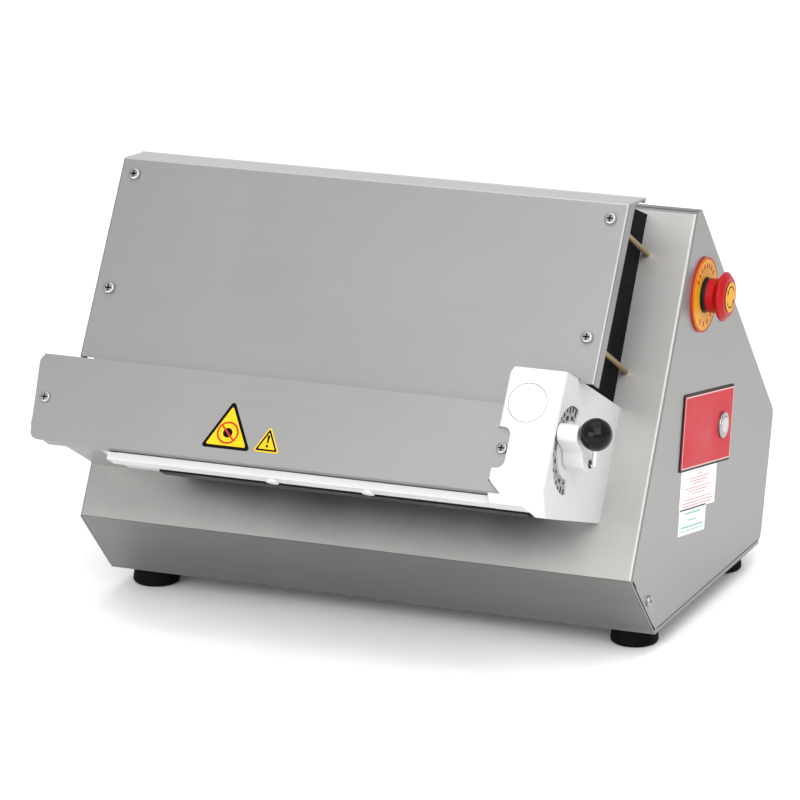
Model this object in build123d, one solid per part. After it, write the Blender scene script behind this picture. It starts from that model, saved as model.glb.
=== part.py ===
"""Bench-top dough sheeter: a folded steel housing with two powered rollers hung on its sloping front.

Axes while modelling: X across the machine, Y to the rear, Z up, floor at Z = 0, X = 0 at mid-width and
Y = 0 at the foot of the front wall. Everything on the sloping front is drawn in head axes: X across,
U up the slope from the knee, D straight out from the front sheet. All lengths are in millimetres.
"""
from build123d import *
import os
from math import atan2, cos, hypot, pi, radians, sin

# ---- driving dimensions: housing -------------------------------------------------------------
BODY_WIDTH = 480.0
SHEET = 1.5
TRAY_BOTTOM = 18.0
FRONT_FOOT = (0.0, 20.0)
KNEE = (-57.0, 79.0)
FRONT_TOP = (89.0, 343.0)
REAR_TOP = (101.0, 344.5)
REAR_KNEE = (298.0, 127.0)
REAR_FOOT = (269.0, 20.0)
REAR_BEND = 12.0
SIDE_BEND = 3.0
TOP_SEAM_Y = 94.0
COVER_GAP = 0.4
REAR_SCREW_X = 224.0
REAR_SCREW_ALONG = (30.0, 235.0)

# ---- driving dimensions: head ----------------------------------------------------------------
BLOCK_INNER_X = 158.4
BLOCK_OUTER_X = 205.0
ROLLER_RADIUS = 25.0
ROLLER_HALF_LENGTH = 153.5
ROLLER_U = 78.0
REAR_ROLLER_D = 46.0
REST_GAP = 2.6
FRONT_ROLLER_D = REAR_ROLLER_D + 2 * ROLLER_RADIUS + REST_GAP
LEVER_D = 102.2
PLATE_HALF_WIDTH = 217.5
PLATE_SHEET = 1.5
GUARD_LEFT_X = -238.5
TRAVEL_OUT = 3.3
TRAVEL_IN = 2.0
SHAFT_RADIUS = 7.5
RUNNING_GAP = 0.05
CLEAR = 0.4

# ---- driving dimensions: controls on the right cheek -----------------------------------------
ESTOP = (105.0, 273.5)
START = (156.0, 151.5)
LEGEND_TOP = 2.6
OVERLAY_CENTRE = (120.4, 158.2)
OVERLAY_SIZE = (124.0, 59.5)
OVERLAY_TURN = -10.0
FOOT_PLACES = [(x, y) for x in (-212.0, 212.0) for y in (31.0, 242.0)]

# ---- driving dimensions: drive inside the housing --------------------------------------------
MOTOR_Y, MOTOR_Z = 76.8, 89.6
BELT_X = (-231.0, -221.0)
GEAR_X = (-218.0, -208.5)
GEAR_TEETH = 20
ROLLER_PULLEY_RADIUS = 24.0
MOTOR_PULLEY_RADIUS = 12.0

# ---- driving dimensions: head details --------------------------------------------------------
SIDE_SCREW = (-17.5, 51.7)
TRAY_LUG = [(-14.6, 36.5), (-32.6, 55.2), (-19.7, 67.7), (-1.6, 49.0)]
PLATE_TOP = (278.8, 99.3)
PLATE_BOTTOM = (106.5, 107.1)
PLATE_HEM = (293.6, 66.4)
PLATE_NOTCH_U = 134.4
FLANGE_END_U = 131.3
PLATE_FLANGE = 12.0
ROD_RADIUS = 2.2
PLATE_SCREWS = [(x, u) for x in (-204.5, 204.5) for u in (61.5, 159.0)]
PANEL_X = (196.5, 198.5)
PANEL_PROFILE = [(139.4, 0.4), (298.0, 0.4), (289.0, 62.0), (275.0, 95.0), (136.0, 101.0)]
GUARD_TOP_U = 102.6
GUARD_BOTTOM_U = 31.8
GUARD_TOP_D = 134.0
GUARD_BOTTOM_D = 138.0
GUARD_SLANT = 7.0
EAR_U = (50.5, 83.0)
TAIL = 9.6
GUARD_SCREW_U = 66.7
GUARD_SCREW_X = (-226.0, 163.6)
BLOCK_PROFILE = [(138.6, 0.0), (132.1, 136.4), (35.7, 141.7), (18.0, 126.5), (43.6, 0.0)]
LEFT_PROFILE = [(101.0, 0.0), (101.0, 131.5), (38.0, 132.5), (34.5, 122.0), (44.0, 104.0), (44.0, 0.0)]
LEFT_CHIN = [(46.0, 107.0), (24.3, 112.0), (24.3, 128.0), (30.4, 128.0), (30.6, 123.0), (38.0, 121.0)]
CARRIAGE_U = (60.0, 96.0)
CARRIAGE_REACH = (20.0, 18.5)
CARRIAGE_X = (160.0, 178.0)
YOKE_X = (178.0, 187.0)
BEARING_RADIUS = 16.0
BEARING_X = (160.5, 169.5)
SCALE_WINDOW = (-80.0, 134.0)
WINDOW_RADII = (34.6, 22.5)
SCALE_POCKET = 35.9
WALL_X = 203.4
CAP_PLACE = (178.0, 104.4)
CAP_RADIUS = 15.5
BLOCK_BOLTS = [(175.0, 120.0), (190.0, 56.0)]
LEFT_BOLTS = [(-175.0, 92.0), (-190.0, 52.0)]
BUSH_OUTER = 10.0
LEVER_SHAFT = 7.0
CAM_RADIUS = 12.5
CAM_THROW = 2.5
CAM_PHASE = -22.5
HUB_RADIUS = 14.5
ARM_ANGLE = 45.0
ARM_REACH = 27.5
ARM_WIDTH = 15.5
BALL_CENTRE = (235.2, -21.2, 21.6)
ROD_FOOT = (225.0, 2.0, -9.6)
ROD_ELBOW = 2.0
GROMMET = (3.4, 0.8, 3.0)
BALL_RADIUS = 12.8
COVER_FOOT_Y = 254.0
UPTURN_Y = 249.8
OUTSIDE = 400.0
RAIL_U = (24.3, 30.6)
RAIL_D = (111.0, 128.0)
MOTOR_BOLT_X = (-180.0, -154.0)
MOTOR_BOLT_Y = (MOTOR_Y - 43.0, MOTOR_Y + 51.0)
GLAND_X = -170.0
GLAND_DOWN = 68.0
GLAND_HOLE = 10.1

# ---- derived values --------------------------------------------------------------------------
HALF = BODY_WIDTH / 2
INNER = HALF - SHEET
SLOPE_LENGTH = hypot(FRONT_TOP[0] - KNEE[0], FRONT_TOP[1] - KNEE[1])
LEAN = atan2(FRONT_TOP[0] - KNEE[0], FRONT_TOP[1] - KNEE[1])
HEAD = Plane(origin=(0, KNEE[0], KNEE[1]), x_dir=(1, 0, 0), z_dir=(0, -cos(LEAN), sin(LEAN))).location
REAR_DROP = hypot(REAR_KNEE[0] - REAR_TOP[0], REAR_KNEE[1] - REAR_TOP[1])
REAR_NORMAL = (0, (REAR_TOP[1] - REAR_KNEE[1]) / REAR_DROP, (REAR_KNEE[0] - REAR_TOP[0]) / REAR_DROP)
REAR = Plane(origin=(0, *REAR_TOP), x_dir=(1, 0, 0), z_dir=REAR_NORMAL).location
REAR_SCREWS = [(x, along) for x in (-REAR_SCREW_X, REAR_SCREW_X) for along in REAR_SCREW_ALONG]
MOTOR_U = (MOTOR_Y - KNEE[0]) * sin(LEAN) + (MOTOR_Z - KNEE[1]) * cos(LEAN)
MOTOR_D = (MOTOR_Z - KNEE[1]) * sin(LEAN) - (MOTOR_Y - KNEE[0]) * cos(LEAN)
PLATE_TILT = atan2(PLATE_BOTTOM[1] - PLATE_TOP[1], PLATE_TOP[0] - PLATE_BOTTOM[0])
PLATE = HEAD * Plane(
    origin=(0, *PLATE_BOTTOM), x_dir=(1, 0, 0), z_dir=(0, sin(PLATE_TILT), cos(PLATE_TILT))
).location
PLATE_HEIGHT = hypot(PLATE_TOP[0] - PLATE_BOTTOM[0], PLATE_TOP[1] - PLATE_BOTTOM[1])
PLATE_TOP_Z = KNEE[1] + PLATE_TOP[0] * cos(LEAN) + PLATE_TOP[1] * sin(LEAN)
GUARD_TILT = atan2(GUARD_BOTTOM_D - GUARD_TOP_D, GUARD_TOP_U - GUARD_BOTTOM_U)
GUARD = HEAD * Plane(
    origin=(0, GUARD_BOTTOM_U, GUARD_BOTTOM_D), x_dir=(1, 0, 0), z_dir=(0, sin(GUARD_TILT), cos(GUARD_TILT))
).location
GUARD_HEIGHT = hypot(GUARD_TOP_U - GUARD_BOTTOM_U, GUARD_TOP_D - GUARD_BOTTOM_D)
GUARD_RIGHT_X = BLOCK_INNER_X - 0.6
YOKE_WINDOW = (LEVER_D - CAM_RADIUS - 0.9 - 0.96, LEVER_D + CAM_RADIUS + 0.9 - 0.96)
HUB_X = (BLOCK_OUTER_X + 0.5, 222.0)
LEVER_YZ = (
    KNEE[0] + ROLLER_U * sin(LEAN) - LEVER_D * cos(LEAN),
    KNEE[1] + ROLLER_U * cos(LEAN) + LEVER_D * sin(LEAN),
)
REAR_WALL = Vector(0, REAR_FOOT[0] - REAR_KNEE[0], REAR_FOOT[1] - REAR_KNEE[1]).normalized()
GLAND = Plane(
    origin=Vector(GLAND_X, *REAR_KNEE) + REAR_WALL * GLAND_DOWN,
    x_dir=(1, 0, 0),
    z_dir=(0, -REAR_WALL.Z, REAR_WALL.Y),
).location


# ---- small helpers ---------------------------------------------------------------------------
def block(x, y, z):
    """Box from three (low, high) pairs."""
    middle = Pos((x[0] + x[1]) / 2, (y[0] + y[1]) / 2, (z[0] + z[1]) / 2)
    return middle * Box(x[1] - x[0], y[1] - y[0], z[1] - z[0])


def prism(x, points):
    """Polygon in the Y-Z (or U-D) plane, extruded across X."""
    return extrude(Plane.YZ.offset(x[0]) * Polygon(*points, align=None), x[1] - x[0], dir=(1, 0, 0))


def bar(x, y, z, radius):
    """Round bar along X at (y, z)."""
    return Pos((x[0] + x[1]) / 2, y, z) * Rot(0, 90, 0) * Cylinder(radius, x[1] - x[0])


def tube(x, y, z, outer, inner):
    return bar(x, y, z, outer) - bar((x[0] - 1, x[1] + 1), y, z, inner)


def post(x, y, z, radius):
    """Round bar along the third axis, z = (low, high)."""
    return Pos(x, y, (z[0] + z[1]) / 2) * Cylinder(radius, z[1] - z[0])


def pan_screw(head_radius, head_height, shank_radius, shank_length):
    """Cross-recessed pan screw: the head stands on Z = 0 and the shank runs down."""
    head = Pos(0, 0, head_height / 2) * Cylinder(head_radius, head_height)
    head = fillet(head.edges().sort_by(Axis.Z)[-1], head_height * 0.6)
    arm = head_radius * 1.05
    recess = Box(arm, arm * 0.24, head_height) + Box(arm * 0.24, arm, head_height)
    shank = Pos(0, 0, -shank_length / 2) * Cylinder(shank_radius, shank_length)
    return head - Pos(0, 0, head_height) * recess + shank


def hex_nut(width, height, bore):
    return extrude(RegularPolygon(width / 2 / cos(pi / 6), 6), height) - Cylinder(bore, 4 * height)


def right_side(y, z, stand=0.0):
    """Frame on the right cheek: its own Z points out of the machine and its own Y points up."""
    return Plane(origin=(HALF + stand, y, z), x_dir=(0, 1, 0), z_dir=(1, 0, 0)).location


def group(shapes):
    """One node from several separate solids."""
    return Compound([solid for shape in shapes for solid in shape.solids()])


# ---- housing ---------------------------------------------------------------------------------


def body_outline():
    face = Plane.YZ * Polygon(FRONT_FOOT, KNEE, FRONT_TOP, REAR_TOP, REAR_KNEE, REAR_FOOT, align=None)
    corners = [v for v in face.vertices() if v.Y > REAR_FOOT[0] - 1]
    return fillet(corners, REAR_BEND)


def front_slot():
    """Way through the front sheet for the drive belt."""
    return HEAD * block((BELT_X[0] - 3, BELT_X[1] + 4), (48, 107), (-6, 6))


def housing_shell():
    """Front sheet and both cheeks, folded from one blank, with a narrow top flange."""
    solid = extrude(Pos(-HALF, 0, 0) * body_outline(), BODY_WIDTH, dir=(1, 0, 0))
    bends = [e for e in solid.edges() if abs(e.length - SLOPE_LENGTH) < 0.05]
    solid = fillet(bends, SIDE_BEND)
    inward = SHEET / cos(LEAN)
    hollow = [
        (KNEE[0] + inward, KNEE[1] + 0.4),
        (FRONT_TOP[0] + inward - SHEET * 0.55, FRONT_TOP[1] - SHEET),
        (TOP_SEAM_Y, FRONT_TOP[1] - SHEET),
        (TOP_SEAM_Y, OUTSIDE),
        (OUTSIDE, OUTSIDE),
        (OUTSIDE, 0.0),
        (-OUTSIDE, 0.0),
        (-OUTSIDE, KNEE[1] + 0.4),
    ]
    shell = solid - prism((-INNER, INNER), hollow) - front_slot()
    for y, z, radius in [(*ESTOP, 11.2), (*START, 9.6)]:
        shell -= bar((INNER - 1, HALF + 1), y, z, radius)
    for x, u in BLOCK_BOLTS + LEFT_BOLTS:
        shell -= HEAD * post(x, u, (-5, 5), 3.05)
    for side in (-1, 1):
        shell -= bar((side * HALF - 3, side * HALF + 3), *SIDE_SCREW, 2.1)
        web = sorted((side * (INNER - 26), side * (INNER + 0.5)))
        for along in REAR_SCREW_ALONG:
            strip = REAR * block(web, (along - 12, along + 12), (-SHEET - 2.5, -SHEET - 0.1))
            shell += strip - REAR * Pos(side * REAR_SCREW_X, along, 0) * Cylinder(2.02, 30)
    return shell


def base_tray():
    """Bottom plate with the lower front wall and a rear upturn, folded from one blank."""
    wide = INNER - COVER_GAP
    floor = block((-HALF + 0.4, HALF - 0.4), (1.0, REAR_FOOT[0] - 4), (TRAY_BOTTOM, FRONT_FOOT[1]))
    wall = [
        FRONT_FOOT,
        (1.0, TRAY_BOTTOM),
        (4.0, FRONT_FOOT[1]),
        (KNEE[0] + 2.6, KNEE[1] - 0.6),
        (KNEE[0] + 16, KNEE[1] - 0.6),
        (KNEE[0] + 16, KNEE[1] + 0.2),
        (KNEE[0], KNEE[1] + 0.2),
    ]
    rear = block((-wide, wide), (UPTURN_Y, UPTURN_Y + SHEET), (TRAY_BOTTOM, FRONT_FOOT[1] + 16))
    tray = floor + prism((-wide, wide), wall) + rear
    for side in (-1, 1):
        lug = prism((INNER - 2.4, INNER - 0.1), TRAY_LUG)
        ear = lug - bar((INNER - 4, INNER + 1), *SIDE_SCREW, 1.9)
        tray += ear if side > 0 else mirror(ear, Plane.YZ)
    for x, y in FOOT_PLACES:
        tray -= post(x, y, (TRAY_BOTTOM - 1, FRONT_FOOT[1] + 1), 3.2)
    for x in MOTOR_BOLT_X:
        for y in MOTOR_BOLT_Y:
            tray -= post(x, y, (TRAY_BOTTOM - 1, FRONT_FOOT[1] + 1), 3.2)
    for row in (110.0, 170.0):
        for i in range(8):
            tray -= block((-70 + i * 20, -66 + i * 20), (row, row + 40), (TRAY_BOTTOM - 1, FRONT_FOOT[1] + 1))
    return tray


def rear_cover():
    """Rear slope and rear wall in one bent sheet between the cheeks, with a top lip."""
    wide = INNER - COVER_GAP
    skin = extrude(Pos(-wide, 0, 0) * body_outline(), 2 * wide, dir=(1, 0, 0))
    inner = extrude(Pos(-wide, 0, 0) * offset(body_outline(), amount=-SHEET), 2 * wide, dir=(1, 0, 0))
    keep = [
        (TOP_SEAM_Y + 1.4, OUTSIDE),
        (TOP_SEAM_Y + 1.4, 320.0),
        (150.0, 120.0),
        (COVER_FOOT_Y, FRONT_FOOT[1] + 0.3),
        (OUTSIDE, FRONT_FOOT[1] + 0.3),
        (OUTSIDE, OUTSIDE),
    ]
    cover = (skin - inner) & prism((-HALF, HALF), keep)
    for along in (150.0, 205.0):
        for i in range(12):
            cover -= REAR * Pos(-110 + 20 * i, along, 0) * Box(4, 36, 12)
    for x, along in REAR_SCREWS:
        cover -= REAR * Pos(x, along, 0) * Cylinder(2.2, 12)
    return cover - GLAND * Cylinder(GLAND_HOLE, 12)


def feet_and_screws():
    feet, screws = [], []
    for x, y in FOOT_PLACES:
        foot = Pos(x, y, TRAY_BOTTOM / 2) * Cone(20.0, 18.0, TRAY_BOTTOM)
        foot = fillet(foot.edges().sort_by(Axis.Z)[0], 3.5)
        foot -= post(x, y, (-1, TRAY_BOTTOM + 1), 3.1)
        feet.append(foot - post(x, y, (-1, 8), 7.0))
        head = post(x, y, (5.0, 8.0), 6.0)
        shank = post(x, y, (8.0, 28.0), 3.0)
        nut = Pos(x, y, FRONT_FOOT[1]) * hex_nut(10.0, 5.0, 2.9)
        screws += [head + shank, nut]
    return group(feet), group(screws)


def housing_screws():
    side, rear = [], []
    for sign in (-1, 1):
        screw = Rot(0, 90 * sign, 0) * pan_screw(4.5, 2.6, 1.85, 8.0)
        side.append(Pos(sign * HALF, *SIDE_SCREW) * screw)
    for x, along in REAR_SCREWS:
        rear.append(REAR * Pos(x, along, 0) * pan_screw(4.5, 2.6, 2.0, 10.0))
    return group(side), group(rear)


# ---- head: feed plate and guard --------------------------------------------------------------


def feed_guard_plate():
    """Large deflector: face sheet, side flanges and a top flange that ends in a closed hem."""
    width = PLATE_HALF_WIDTH
    run_u, run_d = PLATE_HEM[0] - PLATE_TOP[0], PLATE_TOP[1] - PLATE_HEM[1]
    reach = hypot(run_u, run_d)
    drop_u, drop_d = run_d / reach * PLATE_SHEET, run_u / reach * PLATE_SHEET
    inner_top = (PLATE_TOP[0] - drop_u - 0.4, PLATE_TOP[1] - PLATE_SHEET)
    hem_inner = (PLATE_HEM[0] - drop_u, PLATE_HEM[1] - drop_d)
    flange_top = (inner_top[0] + PLATE_FLANGE * run_u / run_d, inner_top[1] - PLATE_FLANGE)
    flange_bottom = (PLATE_BOTTOM[0], PLATE_BOTTOM[1] - PLATE_FLANGE)
    inner_bottom = (PLATE_BOTTOM[0] - 1, PLATE_BOTTOM[1] - PLATE_SHEET + 0.05)
    outer = [PLATE_BOTTOM, PLATE_TOP, PLATE_HEM, hem_inner, flange_top, flange_bottom]
    solid = HEAD * prism((-width, width), outer)
    bends = [e for e in solid.edges() if abs(e.length - PLATE_HEIGHT) < 0.05]
    bends += [e for e in solid.edges().filter_by(Axis.X) if abs((e @ 0.5).Z - PLATE_TOP_Z) < 0.5]
    solid = fillet(bends, 1.8)
    hollow = [inner_bottom, inner_top, hem_inner, (hem_inner[0] - 9, 0.0), (PLATE_BOTTOM[0] - 1, 0.0)]
    solid -= HEAD * prism((PLATE_SHEET - width, width - PLATE_SHEET), hollow)
    hem_u, hem_d = PLATE_HEM[0] - drop_u * 1.1, PLATE_HEM[1] - drop_d
    solid += HEAD * bar((-width, width), hem_u, hem_d, 2.2)
    low = PLATE_BOTTOM[0] - 1
    solid -= HEAD * block((BLOCK_INNER_X - 3, BLOCK_OUTER_X + 0.6), (low, PLATE_NOTCH_U), (80, 115))
    solid -= HEAD * block((BLOCK_OUTER_X, width + 1), (low, FLANGE_END_U), (80, 115))
    solid -= HEAD * block((-width - 1, -BLOCK_OUTER_X + 0.6), (low, 109.6), (80, 115))
    for x, u in PLATE_SCREWS:
        solid -= PLATE * post(x, u, (-4, 1), 2.3)
    return solid


def plate_fixings():
    """Four stand-off rods from the front sheet to the plate, and the pan screws in their ends."""
    rods, screws = [], []
    for x, u in PLATE_SCREWS:
        local_d = PLATE_BOTTOM[1] - u * sin(PLATE_TILT)
        local_u = PLATE_BOTTOM[0] + u * cos(PLATE_TILT)
        length = local_d - PLATE_SHEET - 0.35
        rod = post(x, local_u, (0.0, length), ROD_RADIUS) + post(x, local_u, (length - 14, length), 3.2)
        rod -= post(x, local_u, (length - 12, length + 1), 2.05)
        rods.append(HEAD * rod)
        screws.append(HEAD * Pos(x, local_u, local_d + 0.35) * pan_screw(5.0, 3.0, 2.0, 11.0))
    return group(rods), group(screws)


def chute_side_panels():
    """Dark panels that close both ends of the feed chute between the front sheet and the plate."""
    right = HEAD * prism(PANEL_X, PANEL_PROFILE)
    return group([right, mirror(right, Plane.YZ)])


def roller_guard():
    """Lower guard in front of the rollers, with a bottom return and a screw ear at its right end."""
    outline = Polygon(
        (GUARD_LEFT_X, GUARD_HEIGHT),
        (GUARD_LEFT_X + GUARD_SLANT, 0),
        (GUARD_RIGHT_X, 0),
        (GUARD_RIGHT_X, GUARD_HEIGHT),
        align=None,
    )
    outline = fillet(outline.vertices().sort_by(Axis.X)[:2], 7.0)
    ear_low, ear_high = EAR_U[0] - GUARD_BOTTOM_U, EAR_U[1] - GUARD_BOTTOM_U
    ear = Pos(BLOCK_INNER_X + 3, (ear_low + ear_high) / 2) * RectangleRounded(15.0, ear_high - ear_low, 6.0)
    tail = Polygon((GUARD_RIGHT_X - 1, 0), (GUARD_RIGHT_X + TAIL, 0), (GUARD_RIGHT_X - 1, TAIL), align=None)
    face = extrude(outline + ear + tail, -PLATE_SHEET)
    bottom = block((GUARD_LEFT_X + 18, GUARD_RIGHT_X), (0, 1.3), (-13, -0.5))
    guard = face + bottom
    for x in GUARD_SCREW_X:
        guard -= post(x, GUARD_SCREW_U - GUARD_BOTTOM_U, (-4, 1), 2.3)
    return GUARD * guard


def guard_screws():
    screws = []
    for x in GUARD_SCREW_X:
        screws.append(GUARD * Pos(x, GUARD_SCREW_U - GUARD_BOTTOM_U, 0) * pan_screw(4.6, 2.4, 2.0, 9.0))
    return group(screws)


def front_rail():
    """White bar between the end blocks, just under the guard, with two moulded tabs below it."""
    rail = block((-BLOCK_INNER_X, BLOCK_INNER_X), RAIL_U, RAIL_D)
    edge = rail.edges().filter_by(Axis.X).sort_by(Axis.Y)[:1]
    rail = fillet(edge, 1.2)
    for x in (-25.0, 56.0):
        rail += Pos(x, RAIL_U[0] - 1.2, RAIL_D[1] - 6.0) * Rot(90, 0, 0) * Cylinder(5.0, 2.6)
    return HEAD * rail


# ---- head: end blocks ------------------------------------------------------------------------


def carriage_pocket():
    """Room for a sliding bearing carriage, open towards the rollers."""
    low_d = FRONT_ROLLER_D - CARRIAGE_REACH[0] - TRAVEL_IN - CLEAR
    high_d = FRONT_ROLLER_D + CARRIAGE_REACH[1] + TRAVEL_OUT + CLEAR
    u = (CARRIAGE_U[0] - 0.15, CARRIAGE_U[1] + 0.15)
    return block((BLOCK_INNER_X - 1, CARRIAGE_X[1] + CLEAR), u, (low_d, high_d))


def scale_window():
    """Arc window with square ends through the outer wall, centred on the lever."""
    start, end = radians(SCALE_WINDOW[1]), radians(SCALE_WINDOW[0] + 360)
    rim = [(60 * cos(start + (end - start) * i / 4), 60 * sin(start + (end - start) * i / 4)) for i in range(5)]
    sector = Circle(WINDOW_RADII[0]) - Circle(WINDOW_RADII[1]) - Polygon((0, 0), *rim, align=None)
    ends = [v for v in sector.vertices() if abs(v.Y) > 1.0]
    return lever_frame(WALL_X - 1) * extrude(fillet(ends, 2.2), -12)


def lever_frame(x):
    """Frame on the lever's axis: own X looks level to the front, own Y looks up, own Z looks to -X."""
    level = (0, -sin(LEAN), cos(LEAN))
    return Plane(origin=(x, ROLLER_U, LEVER_D), x_dir=level, z_dir=(-1, 0, 0)).location


def right_end_block():
    """White end block: bearing bore, carriage pocket, scale pocket and window, ear recess, cap seat."""
    solid = prism((BLOCK_INNER_X, BLOCK_OUTER_X), BLOCK_PROFILE)
    face_edges = [e for e in solid.edges() if 95 < e.length < 98 and (e @ 0.5).Z > 100]
    solid = fillet(face_edges, 3.0)
    lower = [e for e in solid.edges().filter_by(Axis.X) if (e @ 0.5).Y < 44]
    solid = fillet(lower, 2.0)
    # the chin is cut away towards the rollers so that the sheet of dough can pass
    step = [(BLOCK_INNER_X - 1, 0), (BLOCK_INNER_X - 1, 24.3), (186.5, 24.3), (BLOCK_OUTER_X, 14.0), (BLOCK_OUTER_X, 0)]
    cut = Plane(origin=(0, 0, 100), x_dir=(1, 0, 0), z_dir=(0, 0, 1)) * Polygon(*step, align=None)
    solid -= extrude(cut, 60, dir=(0, 0, 1))
    solid -= prism((BLOCK_INNER_X - 1, 186.0), [(0, 111.2), (44.0, 111.2), (46.0, -1), (0, -1)])
    corner = [(BLOCK_INNER_X - 1, 124.0), (BLOCK_INNER_X - 1, 140.0), (BLOCK_INNER_X + 8, 140.0)]
    cut = Plane(origin=(0, 0, 60), x_dir=(1, 0, 0), z_dir=(0, 0, 1)) * Polygon(*corner, align=None)
    solid -= extrude(cut, 100, dir=(0, 0, 1))
    solid -= carriage_pocket()
    yoke_d = (FRONT_ROLLER_D - CARRIAGE_REACH[0] - TRAVEL_IN - CLEAR, LEVER_D + 23.0)
    solid -= block((CARRIAGE_X[1] - 1, YOKE_X[1] + CLEAR), (CARRIAGE_U[0] - 0.15, CARRIAGE_U[1] + 0.15), yoke_d)
    solid -= bar((YOKE_X[1] - 1, WALL_X), ROLLER_U, LEVER_D, SCALE_POCKET)
    solid += tube((YOKE_X[1] + 1.2, WALL_X), ROLLER_U, LEVER_D, 14.0, BUSH_OUTER)
    solid -= bar((WALL_X - 1, BLOCK_OUTER_X + 1), ROLLER_U, LEVER_D, BUSH_OUTER)
    solid -= scale_window()
    solid -= bar((BLOCK_INNER_X - 1, BEARING_X[1] + 0.1), ROLLER_U, REAR_ROLLER_D, BEARING_RADIUS)
    solid -= bar((BLOCK_INNER_X - 1, BEARING_X[1] + 8), ROLLER_U, REAR_ROLLER_D, 10.0)
    for x, u in BLOCK_BOLTS:
        solid -= post(x, u, (-1, 26), 3.05)
    solid = HEAD * solid
    solid -= GUARD * ear_recess()
    solid -= cap_seat()
    return solid


def ear_recess():
    low, high = EAR_U[0] - GUARD_BOTTOM_U, EAR_U[1] - GUARD_BOTTOM_U
    pocket = Pos(BLOCK_INNER_X + 2.5, (low + high) / 2) * RectangleRounded(17.0, high - low + 1.2, 7.0)
    low_end, corner = BLOCK_INNER_X + TAIL + 1.4, BLOCK_INNER_X - 1
    wedge = Polygon((corner, -0.9), (low_end, -0.9), (corner, low_end - corner - 0.9), align=None)
    recess = extrude(pocket, 14, dir=(0, 0, 1)) + extrude(pocket, -PLATE_SHEET - 0.05)
    recess += extrude(wedge, 14, dir=(0, 0, 1)) + extrude(wedge, -PLATE_SHEET - 0.05)
    return recess + post(GUARD_SCREW_X[1], GUARD_SCREW_U - GUARD_BOTTOM_U, (-14, 0), 2.05)


def cap_frame():
    """Frame on the end block's front face, Z out of the face."""
    top, bottom = BLOCK_PROFILE[1], BLOCK_PROFILE[2]
    tilt = atan2(bottom[1] - top[1], top[0] - bottom[0])
    share = (CAP_PLACE[1] - bottom[0]) / (top[0] - bottom[0])
    d = bottom[1] + (top[1] - bottom[1]) * share
    origin = (CAP_PLACE[0], CAP_PLACE[1], d)
    return HEAD * Plane(origin=origin, x_dir=(1, 0, 0), z_dir=(0, sin(tilt), cos(tilt))).location


def cap_seat():
    return cap_frame() * post(0, 0, (-2.5, 2), CAP_RADIUS + 0.45)


def round_cap():
    cap = post(0, 0, (-2.4, 0.25), CAP_RADIUS)
    return cap_frame() * fillet(cap.edges().sort_by(Axis.Z)[-1], 0.5)


def left_end_block():
    solid = prism((-BLOCK_OUTER_X, -BLOCK_INNER_X), LEFT_PROFILE)
    pocket = mirror(carriage_pocket(), Plane.YZ)
    slot_d = (FRONT_ROLLER_D - TRAVEL_IN, FRONT_ROLLER_D + TRAVEL_OUT)
    slot = block((-BLOCK_OUTER_X - 1, -BLOCK_INNER_X), (ROLLER_U - 8.5, ROLLER_U + 8.5), slot_d)
    for d in slot_d:
        slot += bar((-BLOCK_OUTER_X - 1, -BLOCK_INNER_X), ROLLER_U, d, 8.5)
    solid += prism((-BLOCK_INNER_X - 8, -BLOCK_INNER_X), LEFT_CHIN)
    solid = solid - pocket - slot
    solid -= bar((-BEARING_X[1] - 0.1, -BLOCK_INNER_X + 1), ROLLER_U, REAR_ROLLER_D, BEARING_RADIUS)
    solid -= bar((-BLOCK_OUTER_X - 1, -BLOCK_INNER_X), ROLLER_U, REAR_ROLLER_D, 10.0)
    for x, u in LEFT_BOLTS:
        solid -= post(x, u, (-1, 26), 3.05)
    return HEAD * solid


def end_block_bolts():
    """Socket bolts from inside the housing through the front sheet into both end blocks."""
    bolts = []
    for x, u in BLOCK_BOLTS + LEFT_BOLTS:
        shank = post(x, u, (-SHEET, 25), 3.0)
        head = post(x, u, (-SHEET - 6, -SHEET), 5.0)
        head -= Pos(x, u, -SHEET - 6) * extrude(RegularPolygon(2.9, 6), 3, dir=(0, 0, 1))
        bolts.append(HEAD * (shank + head))
    return group(bolts)


def drive_cover():
    """Folded cover over the gears and the belt, left of the left end block."""
    x = (-236.0, -BLOCK_OUTER_X - 0.4)
    outline = [(109.0, 0.0), (109.0, 104.0), (103.2, 131.8), (44.0, 131.8), (44.0, 0.0)]
    inner = [(107.8, -1.0), (107.8, 103.6), (102.2, 130.6), (45.2, 130.6), (45.2, -1.0)]
    cover = HEAD * (prism(x, outline) - prism((x[0] + 1.2, x[1] + 1), inner))
    return cover - GUARD * post(GUARD_SCREW_X[0], GUARD_SCREW_U - GUARD_BOTTOM_U, (-14, 0), 2.05)


# ---- head: rollers and carriages -------------------------------------------------------------
def bearing(x, d):
    """Deep-groove bearing as one ring with its two shields drawn in."""
    ring = tube(x, ROLLER_U, d, BEARING_RADIUS, SHAFT_RADIUS + RUNNING_GAP)
    for side in x:
        ring -= tube((side - 0.4, side + 0.4), ROLLER_U, d, 13.6, 10.0)
    return HEAD * ring


def roller_bearings(d):
    left = (-BEARING_X[1], -BEARING_X[0])
    return group([bearing(BEARING_X, d), bearing(left, d)])


def roller(d, left_end):
    """Polished roller with turned journals; the left journal carries the gear."""
    barrel = bar((-ROLLER_HALF_LENGTH, ROLLER_HALF_LENGTH), ROLLER_U, d, ROLLER_RADIUS)
    ends = barrel.edges().filter_by(GeomType.CIRCLE)
    barrel = fillet(ends, 1.5)
    barrel += bar((0.4 - BEARING_X[0], BEARING_X[0] - 0.4), ROLLER_U, d, 10.0)
    shaft = bar((left_end, 172.0), ROLLER_U, d, SHAFT_RADIUS)
    return HEAD * (barrel + shaft)


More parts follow.
